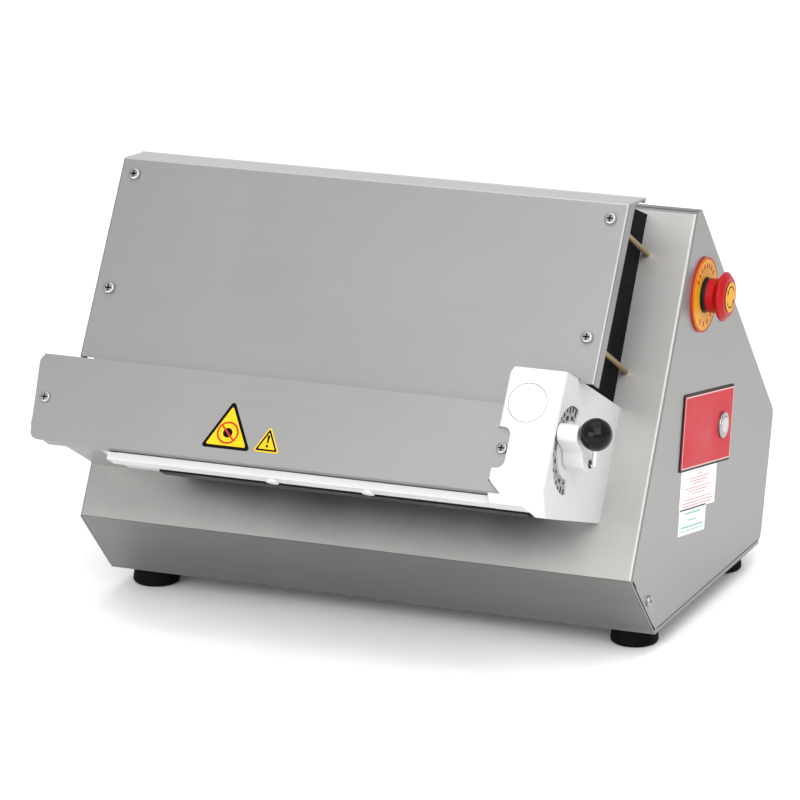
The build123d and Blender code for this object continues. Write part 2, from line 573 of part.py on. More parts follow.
def carriage(sign):
    """Sliding block that carries one bearing of the front roller."""
    d = (FRONT_ROLLER_D - CARRIAGE_REACH[0], FRONT_ROLLER_D + CARRIAGE_REACH[1])
    solid = block(CARRIAGE_X, CARRIAGE_U, d)
    solid -= bar((CARRIAGE_X[0] - 1, BEARING_X[1]), ROLLER_U, FRONT_ROLLER_D, BEARING_RADIUS)
    solid -= bar((CARRIAGE_X[0] - 1, CARRIAGE_X[1] + 1), ROLLER_U, FRONT_ROLLER_D, 11.0)
    if sign > 0:
        yoke = block(YOKE_X, CARRIAGE_U, (d[0], LEVER_D + 19.0))
        window = block((YOKE_X[0] - 0.1, YOKE_X[1] + 1), (ROLLER_U - 15.6, ROLLER_U + 15.6), YOKE_WINDOW)
        solid = solid + yoke - window
    arm_d = (FRONT_ROLLER_D + 4, FRONT_ROLLER_D + 16)
    solid += block((155.0, CARRIAGE_X[0]), (48.0, 66.0), arm_d) - block((158.0, 161), (47, 60), arm_d)
    return HEAD * (solid if sign > 0 else mirror(solid, Plane.YZ))


def front_scraper():
    """Cross bar hung from the carriages with a blade just clear of the front roller."""
    d = FRONT_ROLLER_D
    beam = block((-155.0, 155.0), (38.0, 48.0), (d + 4, d + 16))
    blade = prism((-152.0, 152.0), [(48, d + 5), (53.9, d - 8.8), (53.1, d - 9.8), (47, d + 4.2)])
    return HEAD * (beam + blade)


def rear_scraper():
    d = REAR_ROLLER_D
    beam = block((-BLOCK_INNER_X, BLOCK_INNER_X), (36.0, 46.0), (d - 16, d - 4))
    blade = prism((-156.0, 156.0), [(46, d - 5), (53.9, d + 8.8), (53.1, d + 9.8), (45, d - 4.2)])
    return HEAD * (beam + blade)


def gear(d, phase):
    """Long-toothed spur gear, so that the pair stays in mesh over the carriage's travel."""
    half = pi / GEAR_TEETH
    points = []
    for i in range(GEAR_TEETH):
        middle = 2 * pi * i / GEAR_TEETH + phase
        for angle, radius in ((-0.56, 22.2), (-0.2, 28.0), (0.2, 28.0), (0.56, 22.2)):
            turn = middle + angle * half
            points.append((radius * cos(turn), radius * sin(turn)))
    blank = extrude(Plane.YZ * Polygon(*points, align=None), GEAR_X[1] - GEAR_X[0], dir=(1, 0, 0))
    blank -= bar((-1, 20), 0, 0, SHAFT_RADIUS)
    return HEAD * Pos(GEAR_X[0], ROLLER_U, d) * blank


# ---- head: thickness adjustment --------------------------------------------------------------


def scale_dial():
    ring = tube((WALL_X - 1.6, WALL_X - 0.1), ROLLER_U, LEVER_D, SCALE_POCKET - 0.2, 15.0)
    return HEAD * ring


def shaft_bush():
    outer = tube((YOKE_X[1] + 1.2, BLOCK_OUTER_X), ROLLER_U, LEVER_D, BUSH_OUTER, LEVER_SHAFT + RUNNING_GAP)
    return HEAD * outer


def lever_hub():
    """White hub with a pointer arm over the scale window."""
    outer = HUB_X[0] - HUB_X[1]
    arm = Rot(0, 0, ARM_ANGLE) * Pos(ARM_REACH / 2, 0) * Rectangle(ARM_REACH, ARM_WIDTH)
    tip = Rot(0, 0, ARM_ANGLE) * Pos(ARM_REACH, 0) * Circle(ARM_WIDTH / 2)
    solid = extrude(Circle(HUB_RADIUS) + arm + tip, outer)
    solid = lever_frame(HUB_X[0]) * solid
    rim = [e for e in solid.edges() if abs((e @ 0.5).X - HUB_X[1]) < 0.01]
    solid = fillet(rim, 1.4)
    solid -= bar((HUB_X[0] - 1, HUB_X[1] - 4), ROLLER_U, LEVER_D, LEVER_SHAFT)
    socket = bar((HUB_X[1] - GROMMET[2], HUB_X[1] + 1), ROD_FOOT[1], ROD_FOOT[2], GROMMET[0])
    return HEAD * solid - lever_world() * socket


def lever_rod():
    """Chrome rod: a short foot square to the hub's face, an elbow, and a long leg up to the ball."""
    elbow, ball = Vector(ROD_FOOT), Vector(BALL_CENTRE)
    run = ball - elbow
    leg = Plane(origin=elbow, z_dir=run.normalized()).location * Pos(0, 0, run.length / 2 - 3.5)
    rod = leg * Cylinder(ROD_ELBOW, run.length - 7.0) + Pos(elbow) * Sphere(ROD_ELBOW)
    rod += bar((HUB_X[1] - GROMMET[2] + 0.2, ROD_FOOT[0]), ROD_FOOT[1], ROD_FOOT[2], ROD_ELBOW)
    return lever_world() * rod


def rod_grommet():
    """Black ring round the rod where it enters the hub."""
    x = (HUB_X[1] - GROMMET[2], HUB_X[1] + GROMMET[1])
    return lever_world() * tube(x, ROD_FOOT[1], ROD_FOOT[2], GROMMET[0], ROD_ELBOW)


def lever_world():
    """Lever axis with X across and Y, Z parallel to the machine's own."""
    return Pos(0, *LEVER_YZ)


def ball_knob():
    elbow, centre = Vector(ROD_FOOT), Vector(BALL_CENTRE)
    run = centre - elbow
    ball = Pos(centre) * Sphere(BALL_RADIUS)
    frame = Plane(origin=centre, z_dir=run.normalized()).location
    return lever_world() * (ball - frame * Pos(0, 0, -12) * Cylinder(ROD_ELBOW, 17.0))


def lever_shaft():
    """Shaft through the bush with the eccentric disc on its inner end."""
    shaft = bar((YOKE_X[1] + 0.6, HUB_X[1] - 4), ROLLER_U, LEVER_D, LEVER_SHAFT)
    turn = radians(CAM_PHASE)
    u, d = ROLLER_U + CAM_THROW * cos(turn), LEVER_D + CAM_THROW * sin(turn)
    disc = bar((YOKE_X[0] + 0.6, YOKE_X[1] + 0.6), u, d, CAM_RADIUS)
    return HEAD * (shaft + disc)


# ---- controls --------------------------------------------------------------------------------
def washer_disc(outer, inner, low, high):
    return post(0, 0, (low, high), outer) - Cylinder(inner, 100)


def estop_parts():
    frame = right_side(*ESTOP)
    legend = washer_disc(30.5, 11.2, 0.05, LEGEND_TOP)
    legend = fillet(legend.edges().sort_by(Axis.Z)[-2:], 0.3)
    collar = washer_disc(14.5, 8.5, LEGEND_TOP, LEGEND_TOP + 0.7) + washer_disc(13.0, 8.5, LEGEND_TOP, 6.4)
    collar += washer_disc(11.0, 8.5, -26.0, LEGEND_TOP + 0.1)
    nut = washer_disc(14.5, 11.1, -SHEET - 5.0, -SHEET)
    contact = block((-15, 15), (-15, 15), (-62, -27)) - post(0, 0, (-40, -20), 7.0)
    profile = [(0, 11.2), (13.4, 11.2), (13.4, 6.6), (14.0, 6.6), (14.0, 12.6), (15.6, 14.6)]
    profile += [(20.0, 17.8), (20.0, 19.6), (16.0, 23.0), (0, 23.6)]
    head = revolve(Plane.XZ * Polygon(*profile, align=None), Axis.Z)
    rims = [e for e in head.edges().filter_by(GeomType.CIRCLE) if e.radius > 19.0]
    head = fillet(rims, 0.8)
    stem = post(0, 0, (-24.0, 10.8), 6.0)
    return [frame * piece for piece in (legend, collar, nut, contact, head, stem)]


def start_parts():
    frame = right_side(*START)
    bezel = washer_disc(11.0, 7.6, 1.6, 4.2) + washer_disc(9.4, 7.6, -22.0, 1.7)
    top = [e for e in bezel.edges().filter_by(GeomType.CIRCLE) if e.radius > 10.9 and (e @ 0).Z > 4]
    bezel = fillet(top, 1.2)
    cap = post(0, 0, (-14.0, 4.6), 7.2)
    cap = fillet(cap.edges().sort_by(Axis.Z)[-1], 0.6)
    nut = hex_nut(23.0, 3.5, 9.45)
    body = post(0, 0, (-40, -22.4), 9.0) - post(0, 0, (-30, -20), 7.6)
    return [frame * bezel, frame * cap, frame * Pos(0, 0, -SHEET - 3.6) * nut, frame * body]


def control_panel():
    """Black frame and red overlay plate, turned a little on the cheek."""
    turn = right_side(*OVERLAY_CENTRE) * Rot(0, 0, OVERLAY_TURN)
    width, height = OVERLAY_SIZE
    frame = extrude(RectangleRounded(width + 3.4, height + 3.4, 2.5), 1.0)
    frame -= extrude(RectangleRounded(width, height, 1.5), 3.0, both=True)
    plate = extrude(RectangleRounded(width - 0.4, height - 0.4, 1.3), 1.5)
    hole = right_side(*START) * Cylinder(9.6, 20)
    return turn * Pos(0, 0, 0.05) * frame, (turn * Pos(0, 0, 0.05) * plate) - hole


# ---- drive and electrics ---------------------------------------------------------------------
def gear_motor():
    """Bought-in unit: motor, fan cowl, gearbox and output shaft with its axis across the machine."""
    y, z = MOTOR_Y, MOTOR_Z
    box = block((-212.0, -140.0), (y - 38, y + 46), (z - 36, z + 60))
    box = fillet(box.edges().filter_by(Axis.X), 6.0)
    box -= bar((-220.0, -139.0), y, z, 9.0)
    box += tube((-214.0, -211.9), y, z, 20.0, 9.0)
    motor_y, motor_z = y + 8, z + 14
    motor = bar((-139.9, 2.0), motor_y, motor_z, 44.0)
    for i in range(20):
        turn = Rot(18 * i, 0, 0)
        motor += Pos(-69, motor_y, motor_z) * turn * Pos(0, 0, 45.0) * Box(130, 2.2, 6.0)
    cowl = bar((2.2, 34.0), motor_y, motor_z, 47.0)
    cowl = fillet(cowl.edges().sort_by(Axis.X)[-1], 6.0) - bar((1.0, 31.5), motor_y, motor_z, 45.4)
    for i in range(6):
        cowl -= Pos(30, motor_y, motor_z) * Rot(60 * i, 0, 0) * Pos(0, 0, 24) * Box(20, 7, 26)
    output = bar((BELT_X[0] - 1.0, -142.0), y, z, 8.95)
    return box, motor, cowl, output


def motor_bracket():
    """Stand under the gearbox and the four bolts that hold it to the tray."""
    y, z = MOTOR_Y, MOTOR_Z
    x = (MOTOR_BOLT_X[0] - 10.0, MOTOR_BOLT_X[1] + 10.0)
    foot = block(x, (MOTOR_BOLT_Y[0] - 9, MOTOR_BOLT_Y[1] + 9), (FRONT_FOOT[1] + 0.05, FRONT_FOOT[1] + 4))
    riser = block(x, (y - 30, y + 38), (FRONT_FOOT[1] + 3.9, z - 36.05))
    riser -= block((x[0] - 1, x[1] + 1), (y - 24, y + 32), (FRONT_FOOT[1] + 8, z - 40))
    bracket = foot + riser
    bolts = []
    for bolt_x in MOTOR_BOLT_X:
        for bolt_y in MOTOR_BOLT_Y:
            bracket -= post(bolt_x, bolt_y, (0, 60), 3.2)
            head = Pos(bolt_x, bolt_y, FRONT_FOOT[1] + 4) * extrude(RegularPolygon(5.7, 6), 4)
            bolts.append(head + post(bolt_x, bolt_y, (TRAY_BOTTOM - 2, FRONT_FOOT[1] + 4.1), 3.0))
    return bracket, group(bolts)


def pulley(y, z, radius, bore, grooves):
    wheel = bar(BELT_X, y, z, radius)
    for i in range(grooves):
        turn = Rot(360 / grooves * i, 0, 0)
        middle = (BELT_X[0] + BELT_X[1]) / 2
        wheel -= Pos(middle, y, z) * turn * Pos(0, 0, radius) * Box(BELT_X[1] - BELT_X[0] + 1, 1.6, 1.8)
    return wheel - bar((BELT_X[0] - 1, BELT_X[1] + 1), y, z, bore)


def drive_belt():
    """Toothed belt as one closed band round both pulleys."""
    span_u, span_d = MOTOR_U - ROLLER_U, MOTOR_D - REAR_ROLLER_D
    reach = hypot(span_u, span_d)
    tilt = atan2(span_u, span_d)
    lean = (ROLLER_PULLEY_RADIUS - MOTOR_PULLEY_RADIUS) / reach

    def hull(grow):
        big, small = ROLLER_PULLEY_RADIUS + grow, MOTOR_PULLEY_RADIUS + grow
        shape = Circle(big) + Pos(reach, 0) * Circle(small)
        c, s = lean, (1 - lean * lean) ** 0.5
        quad = [(big * c, -big * s), (reach + small * c, -small * s)]
        quad += [(reach + small * c, small * s), (big * c, big * s)]
        return shape + Polygon(*quad, align=None)

    band = hull(3.0) - hull(0.4)
    frame = Plane(
        origin=(BELT_X[0] + 0.5, ROLLER_U, REAR_ROLLER_D), x_dir=(0, sin(tilt), cos(tilt)), z_dir=(1, 0, 0)
    ).location
    return HEAD * frame * extrude(band, BELT_X[1] - BELT_X[0] - 1.0)


def electrics():
    """Control box with its board, the motor's capacitor, the contactor and the supply gland."""
    box = block((70.0, 190.0), (60.0, 150.0), (20.1, 68.0))
    box = fillet(box.edges().filter_by(Axis.Z), 4.0)
    box -= block((73.0, 187.0), (63.0, 147.0), (23.0, 66.0))
    board = block((80.0, 180.0), (68.0, 142.0), (28.0, 29.6))
    relays = [block((x, x + 18), (80.0, 105.0), (29.6, 44.0)) for x in (88.0, 116.0, 144.0)]
    for relay in relays:
        board += relay
    board += block((86.0, 172.0), (120.0, 132.0), (29.6, 40.0))
    posts = [post(x, y, (23.0, 28.0), 3.0) for x in (85.0, 175.0) for y in (73.0, 137.0)]
    for pillar in posts:
        box += pillar
    capacitor = bar((20.0, 90.0), 206.0, 39.6, 19.0)
    capacitor = fillet(capacitor.edges().filter_by(GeomType.CIRCLE), 2.0)
    contactor = block((110.0, 156.0), (170.0, 236.0), (20.1, 92.0))
    contactor -= block((118.0, 148.0), (166.0, 178.0), (60.0, 84.0))
    return box, board, capacitor, contactor


def gland_solid():
    body = Pos(0, 0, 0.1) * extrude(RegularPolygon(12.5, 6), 6.0)
    dome = Pos(0, 0, 6.1) * extrude(Circle(10.5), 11.0)
    dome = fillet(dome.edges().sort_by(Axis.Z)[-1], 4.0)
    thread = Pos(0, 0, -9.0) * Cylinder(9.8, 18.4)
    nut = Pos(0, 0, -SHEET - 6.1) * hex_nut(26.0, 5.0, 9.9)
    gland = (body + dome + thread) - Cylinder(4.2, 80)
    return GLAND * gland, GLAND * nut


# ---- assembly --------------------------------------------------------------------------------
def build_nodes():
    nodes = {"housing_shell": housing_shell(), "base_tray": base_tray(), "rear_cover": rear_cover()}
    nodes["rubber_feet"], nodes["foot_screws"] = feet_and_screws()
    nodes["side_screws"], nodes["rear_cover_screws"] = housing_screws()
    nodes["feed_guard_plate"] = feed_guard_plate()
    nodes["plate_standoffs"], nodes["plate_screws"] = plate_fixings()
    nodes["chute_side_panels"] = chute_side_panels()
    nodes["roller_guard"], nodes["guard_screws"] = roller_guard(), guard_screws()
    nodes["front_rail"] = front_rail()
    nodes["right_end_block"], nodes["left_end_block"] = right_end_block(), left_end_block()
    nodes["round_cap"] = round_cap()
    nodes["end_block_bolts"] = end_block_bolts()
    nodes["drive_cover"] = drive_cover()
    nodes["rear_bearings"] = roller_bearings(REAR_ROLLER_D)
    nodes["front_bearings"] = roller_bearings(FRONT_ROLLER_D)
    nodes["rear_roller"] = roller(REAR_ROLLER_D, BELT_X[0] - 2)
    nodes["front_roller"] = roller(FRONT_ROLLER_D, GEAR_X[0] - 1)
    nodes["right_carriage"], nodes["left_carriage"] = carriage(1), carriage(-1)
    nodes["front_scraper"], nodes["rear_scraper"] = front_scraper(), rear_scraper()
    nodes["rear_roller_gear"] = gear(REAR_ROLLER_D, pi / 2 + pi / GEAR_TEETH)
    nodes["front_roller_gear"] = gear(FRONT_ROLLER_D, -pi / 2)
    nodes["scale_dial"], nodes["shaft_bush"] = scale_dial(), shaft_bush()
    nodes["lever_hub"], nodes["lever_rod"] = lever_hub(), lever_rod()
    nodes["ball_knob"], nodes["lever_shaft"] = ball_knob(), lever_shaft()
    nodes["rod_grommet"] = rod_grommet()
    legend, collar, estop_nut, estop_contact, head, stem = estop_parts()
    bezel, cap, start_nut, start_contact = start_parts()
    gland, gland_nut = gland_solid()
    nodes["estop_legend"], nodes["estop_collar"] = legend, collar
    nodes["estop_head"], nodes["estop_stem"] = head, stem
    nodes["start_bezel"], nodes["start_button"] = bezel, cap
    nodes["panel_nuts"] = group([estop_nut, start_nut, gland_nut])
    nodes["contact_blocks"] = group([estop_contact, start_contact])
    nodes["cable_gland"] = gland
    nodes["control_frame"], nodes["control_overlay"] = control_panel()
    nodes["gearbox"], nodes["motor"], nodes["fan_cowl"], nodes["output_shaft"] = gear_motor()
    nodes["motor_bracket"], nodes["motor_bolts"] = motor_bracket()
    roller_y = KNEE[0] + ROLLER_U * sin(LEAN) - REAR_ROLLER_D * cos(LEAN)
    roller_z = KNEE[1] + ROLLER_U * cos(LEAN) + REAR_ROLLER_D * sin(LEAN)
    nodes["roller_pulley"] = pulley(roller_y, roller_z, ROLLER_PULLEY_RADIUS, SHAFT_RADIUS, 40)
    nodes["motor_pulley"] = pulley(MOTOR_Y, MOTOR_Z, MOTOR_PULLEY_RADIUS, 8.95, 20)
    nodes["drive_belt"] = drive_belt()
    nodes["control_box"], nodes["circuit_board"], nodes["capacitor"], nodes["contactor"] = electrics()
    return nodes


nodes = build_nodes()
boxes = [shape.bounding_box() for shape in nodes.values()]
low = [min(getattr(box.min, axis) for box in boxes) for axis in "XYZ"]
high = [max(getattr(box.max, axis) for box in boxes) for axis in "XYZ"]
ORIGIN = Pos(-(low[0] + high[0]) / 2, -(low[1] + high[1]) / 2, -low[2])
os.makedirs("parts", exist_ok=True)
for name, shape in nodes.items():
    export_step(ORIGIN * shape, "parts/" + name + ".step")
print(len(nodes), "nodes; corners", low, high, "; moved by", ORIGIN.position)
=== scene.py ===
"""Looks of the bench-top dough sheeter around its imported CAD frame.

Positions are in millimetres in the CAD's modelling axes (X across, Y to the rear, Z up, floor at 0), and
frame_matrix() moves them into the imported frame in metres. Head axes are X across, U up the front slope from
the knee, and D out of the slope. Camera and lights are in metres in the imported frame.
"""
import math

import bmesh
import bpy
from mathutils import Matrix, Vector


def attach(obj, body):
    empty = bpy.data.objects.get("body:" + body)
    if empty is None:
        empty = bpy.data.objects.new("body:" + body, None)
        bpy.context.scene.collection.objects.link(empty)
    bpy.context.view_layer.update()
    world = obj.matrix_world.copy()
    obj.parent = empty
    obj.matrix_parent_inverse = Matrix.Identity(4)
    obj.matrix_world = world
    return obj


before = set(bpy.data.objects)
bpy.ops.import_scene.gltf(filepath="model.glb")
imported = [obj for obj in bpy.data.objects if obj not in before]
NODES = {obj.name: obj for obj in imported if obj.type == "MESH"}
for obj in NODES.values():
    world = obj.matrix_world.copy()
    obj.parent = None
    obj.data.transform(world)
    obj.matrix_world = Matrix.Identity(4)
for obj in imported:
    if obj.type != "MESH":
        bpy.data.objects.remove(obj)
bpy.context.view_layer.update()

# ---- shared dimensions, millimetres ----------------------------------------------------------
MM = 0.001
SHIFT = Vector((-10.5, -67.477, 0.0))
HALF = 240.0
KNEE = (-57.0, 79.0)
FRONT_TOP = (89.0, 343.0)
FRONT_FOOT = (0.0, 20.0)
REAR_FOOT_Y = 262.0
PLATE_TOP = (278.8, 99.3)
PLATE_BOTTOM = (106.5, 107.1)
ROLLER_U, LEVER_D = 78.0, 102.2
GUARD_BOTTOM = (31.8, 138.0)
GUARD_TOP = (102.6, 134.0)
PLATE_SCREWS_X = (-204.5, 204.5)
PLATE_SCREWS_ALONG = (61.5, 159.0)
PLATE_RECESS = (1.85, 5.2)  # height of the recess floor over the sheet, length of the cross
GUARD_SCREWS_X = (-226.0, 163.6)
GUARD_SCREW_U = 66.7
GUARD_RECESS = (1.2, 4.78)
DIAL_FACE_X = 203.3
ESTOP = (105.0, 273.5)
ESTOP_LEGEND_FACE = 2.62
ESTOP_HEAD_FACE = 23.6
OVERLAY_CENTRE = (120.4, 158.2)
OVERLAY_SIZE = (124.0, 59.5)
OVERLAY_FACE = 1.56
UPPER_LABEL = (101.8, 113.2)
LOWER_LABEL = (87.4, 89.2)
PANEL_TURN = -10.0  # degrees; the red panel and the labels lie at this angle on the cheek
INK = 0.12  # thickness of a label
LIFT = 0.01  # gap between a print and the face under it


def frame_matrix(origin, x_dir, z_dir):
    """Matrix, in metres, of a local frame given in modelling millimetres."""
    z = Vector(z_dir).normalized()
    x = Vector(x_dir).normalized()
    y = z.cross(x)
    m = Matrix((x, y, z)).transposed().to_4x4()
    m.translation = (Vector(origin) + SHIFT) * MM
    return m @ Matrix.Scale(MM, 4)


LEAN = math.atan2(FRONT_TOP[0] - KNEE[0], FRONT_TOP[1] - KNEE[1])
UP_SLOPE = Vector((0, math.sin(LEAN), math.cos(LEAN)))
OUT = Vector((0, -math.cos(LEAN), math.sin(LEAN)))


def head_point(x, u, d):
    """Modelling position of a point given in head axes."""
    return Vector((x, *KNEE)) + UP_SLOPE * u + OUT * d


GUARD_TILT = math.atan2(GUARD_BOTTOM[1] - GUARD_TOP[1], GUARD_TOP[0] - GUARD_BOTTOM[0])
GUARD_FRAME = frame_matrix(
    head_point(0, *GUARD_BOTTOM), (1, 0, 0), UP_SLOPE * math.sin(GUARD_TILT) + OUT * math.cos(GUARD_TILT)
)
LEVER = head_point(0, ROLLER_U, LEVER_D)


def cheek_frame(y, z, turn=0.0):
    """Frame on the outside of the right cheek: x to the rear, y up, turned by some degrees."""
    m = frame_matrix((HALF, y, z), (0, 1, 0), (1, 0, 0))
    return m @ Matrix.Rotation(math.radians(turn), 4, "Z")


# ---- materials -------------------------------------------------------------------------------
def add(tree, kind, inputs=None, **settings):
    """New shader node with its settings and socket constants."""
    node = tree.nodes.new("ShaderNode" + kind)
    for key, value in settings.items():
        setattr(node, key, value)
    for key, value in (inputs or {}).items():
        node.inputs[key].default_value = value
    return node


def start_material(name, colour, metallic, **constants):
    """Material with a principled shader; constants are its sockets, with _ for each space."""
    material = bpy.data.materials.new(name)
    material.use_nodes = True
    tree = material.node_tree
    tree.nodes.clear()
    shader = add(tree, "BsdfPrincipled")
    shader.inputs["Base Color"].default_value = (*colour, 1)
    shader.inputs["Metallic"].default_value = metallic
    for key, value in constants.items():
        shader.inputs[key.replace("_", " ")].default_value = value
    output = add(tree, "OutputMaterial")
    tree.links.new(shader.outputs[0], output.inputs[0])
    return material, tree, shader


def object_noise(tree, scale, detail=4.0, rough=0.55):
    """Noise over object coordinates; scale is repeats per metre on each axis."""
    place = add(tree, "TexCoord")
    mapping = add(tree, "Mapping", {"Scale": scale})
    noise = add(tree, "TexNoise", {"Scale": 1.0, "Detail": detail, "Roughness": rough})
    tree.links.new(place.outputs["Object"], mapping.inputs["Vector"])
    tree.links.new(mapping.outputs[0], noise.inputs["Vector"])
    return noise.outputs[0]


def spread(tree, value, low, high, source=(0.3, 0.7)):
    """Value mapped from the source range to low and high."""
    ends = {"From Min": source[0], "From Max": source[1], "To Min": low, "To Max": high}
    node = add(tree, "MapRange", ends)
    tree.links.new(value, node.inputs["Value"])
    return node.outputs[0]


def product(tree, a, b):
    node = add(tree, "Math", operation="MULTIPLY")
    tree.links.new(a, node.inputs[0])
    tree.links.new(b, node.inputs[1])
    return node.outputs[0]


def tinted(tree, colour, factor):
    """Colour times a varying factor."""
    node = add(tree, "MixRGB", {"Fac": 1.0, "Color1": (*colour, 1)}, blend_type="MULTIPLY")
    tree.links.new(factor, node.inputs["Color2"])
    return node.outputs[0]


def add_bump(tree, shader, heights, distance):
    """Chain of bump nodes from (height, strength) pairs."""
    normal = None
    for height, strength in heights:
        bump = add(tree, "Bump", {"Strength": strength, "Distance": distance})
        tree.links.new(height, bump.inputs["Height"])
        if normal is not None:
            tree.links.new(normal, bump.inputs["Normal"])
        normal = bump.outputs[0]
    tree.links.new(normal, shader.inputs["Normal"])


GRAIN_ALONG = {"X": (3.0, 1300.0, 1300.0), "U": (1300.0, 3.0, 3.0), "Z": (1300.0, 1300.0, 3.0)}


def brushed(name, colour, roughness, along="X", grain=0.07, bump=0.10, smudge=0.05, upward_painted_light=1.0, uneven=1.0):
    """Grained metal: streaks along one axis and faint handling marks.

    Faces that look up get painted light: they are brighter by the upward painted light factor; uneven scales
    how much the gloss varies.
    """
    material, tree, shader = start_material(name, colour, 1.0)
    fine = object_noise(tree, GRAIN_ALONG[along], 5.0, 0.7)
    wide = object_noise(tree, [s / 6 if s > 100 else s * 0.6 for s in GRAIN_ALONG[along]], 3.0)
    marks = object_noise(tree, (11.0, 11.0, 11.0), 4.0, 0.6)
    tone = product(
        tree, spread(tree, fine, 1 - grain, 1 + grain), spread(tree, wide, 1 - grain / 2, 1 + grain / 2)
    )
    tone = product(tree, tone, spread(tree, marks, 1 - smudge, 1 + smudge * 0.6))
    facing = add(tree, "SeparateXYZ")
    tree.links.new(add(tree, "TexCoord").outputs["Normal"], facing.inputs[0])
    # Painted light: faces that look up are made brighter.
    tone = product(tree, tone, spread(tree, facing.outputs["Z"], 1.0, upward_painted_light, (0.65, 0.95)))
    tree.links.new(tinted(tree, colour, tone), shader.inputs["Base Color"])
    rough = product(
        tree, spread(tree, fine, roughness * (1 - 0.15 * uneven), roughness * (1 + 0.2 * uneven)),
        spread(tree, marks, 1 - 0.15 * uneven, 1 + 0.2 * uneven),
    )
    tree.links.new(rough, shader.inputs["Roughness"])
    add_bump(tree, shader, [(fine, bump), (wide, bump * 0.5 * uneven)], 0.0002)
    return material


def moulded(name, colour, roughness, texture=900.0, bump=0.06, mottling=0.03, metallic=0.0, **constants):
    """Plastic, rubber or paint: fine surface texture, faint mottling and uneven gloss."""
    material, tree, shader = start_material(name, colour, metallic, **constants)
    fine = object_noise(tree, (texture, texture, texture), 3.0)
    cloud = object_noise(tree, (24.0, 24.0, 24.0), 4.0, 0.6)
    tree.links.new(
        tinted(tree, colour, spread(tree, cloud, 1 - mottling, 1 + mottling)), shader.inputs["Base Color"]
    )
    gloss = product(
        tree, spread(tree, fine, 0.94, 1.08), spread(tree, cloud, roughness * 0.85, roughness * 1.15)
    )
    tree.links.new(gloss, shader.inputs["Roughness"])
    add_bump(tree, shader, [(fine, bump), (cloud, bump * 0.4)], 0.0003)
    return material


def turned(name, colour, roughness, axis="X"):
    """Lathe-turned or ground metal: fine rings round the axis."""
    scale = {"X": (1800.0, 6.0, 6.0), "Y": (6.0, 1800.0, 6.0), "Z": (6.0, 6.0, 1800.0)}[axis]
    material, tree, shader = start_material(name, colour, 1.0)
    rings = object_noise(tree, scale, 4.0, 0.7)
    cloud = object_noise(tree, (30.0, 30.0, 30.0), 3.0)
    tree.links.new(tinted(tree, colour, spread(tree, rings, 0.93, 1.05)), shader.inputs["Base Color"])
    rough = product(
        tree, spread(tree, rings, roughness * 0.8, roughness * 1.3), spread(tree, cloud, 0.9, 1.15)
    )
    tree.links.new(rough, shader.inputs["Roughness"])
    add_bump(tree, shader, [(rings, 0.08)], 0.0002)
    return material


def folded_shell(name, colour, slope_rough, cheek_rough):
    """Housing sheet: grain that runs up the slope and up the cheeks, gloss smeared across it, and painted
    shade that darkens the cheeks.
    """
    material, tree, shader = start_material(name, colour, 1.0, Anisotropic=0.8)
    sloping = object_noise(tree, GRAIN_ALONG["U"], 5.0, 0.7)
    upright = object_noise(tree, GRAIN_ALONG["Z"], 5.0, 0.7)
    marks = object_noise(tree, (9.0, 9.0, 9.0), 4.0, 0.6)
    place = add(tree, "TexCoord")
    split = add(tree, "SeparateXYZ")
    tree.links.new(place.outputs["Normal"], split.inputs[0])
    side = add(tree, "Math", operation="ABSOLUTE")
    tree.links.new(split.outputs["X"], side.inputs[0])
    cheek = spread(tree, side.outputs[0], 0.0, 1.0, (0.35, 0.75))
    grain = add(tree, "Mix", data_type="FLOAT")
    for value, socket in ((cheek, 0), (sloping, 2), (upright, 3)):
        tree.links.new(value, grain.inputs[socket])
    grain = grain.outputs[0]
    tone = product(tree, spread(tree, grain, 0.965, 1.035), spread(tree, marks, 0.955, 1.035))
    # Painted shade: the cheeks, which face sideways, are made darker than the slope of the same sheet.
    tone = product(tree, tone, spread(tree, cheek, 1.0, 0.84, (0.0, 1.0)))
    tree.links.new(tinted(tree, colour, tone), shader.inputs["Base Color"])
    base = spread(tree, cheek, slope_rough, cheek_rough, (0.0, 1.0))
    tree.links.new(product(tree, base, spread(tree, marks, 0.88, 1.15)), shader.inputs["Roughness"])
    add_bump(tree, shader, [(grain, 0.06)], 0.0002)
    across = add(tree, "CombineXYZ")
    tree.links.new(spread(tree, cheek, 1.0, 0.0, (0.0, 1.0)), across.inputs["X"])
    tree.links.new(cheek, across.inputs["Y"])
    tree.links.new(across.outputs[0], shader.inputs["Tangent"])
    return material


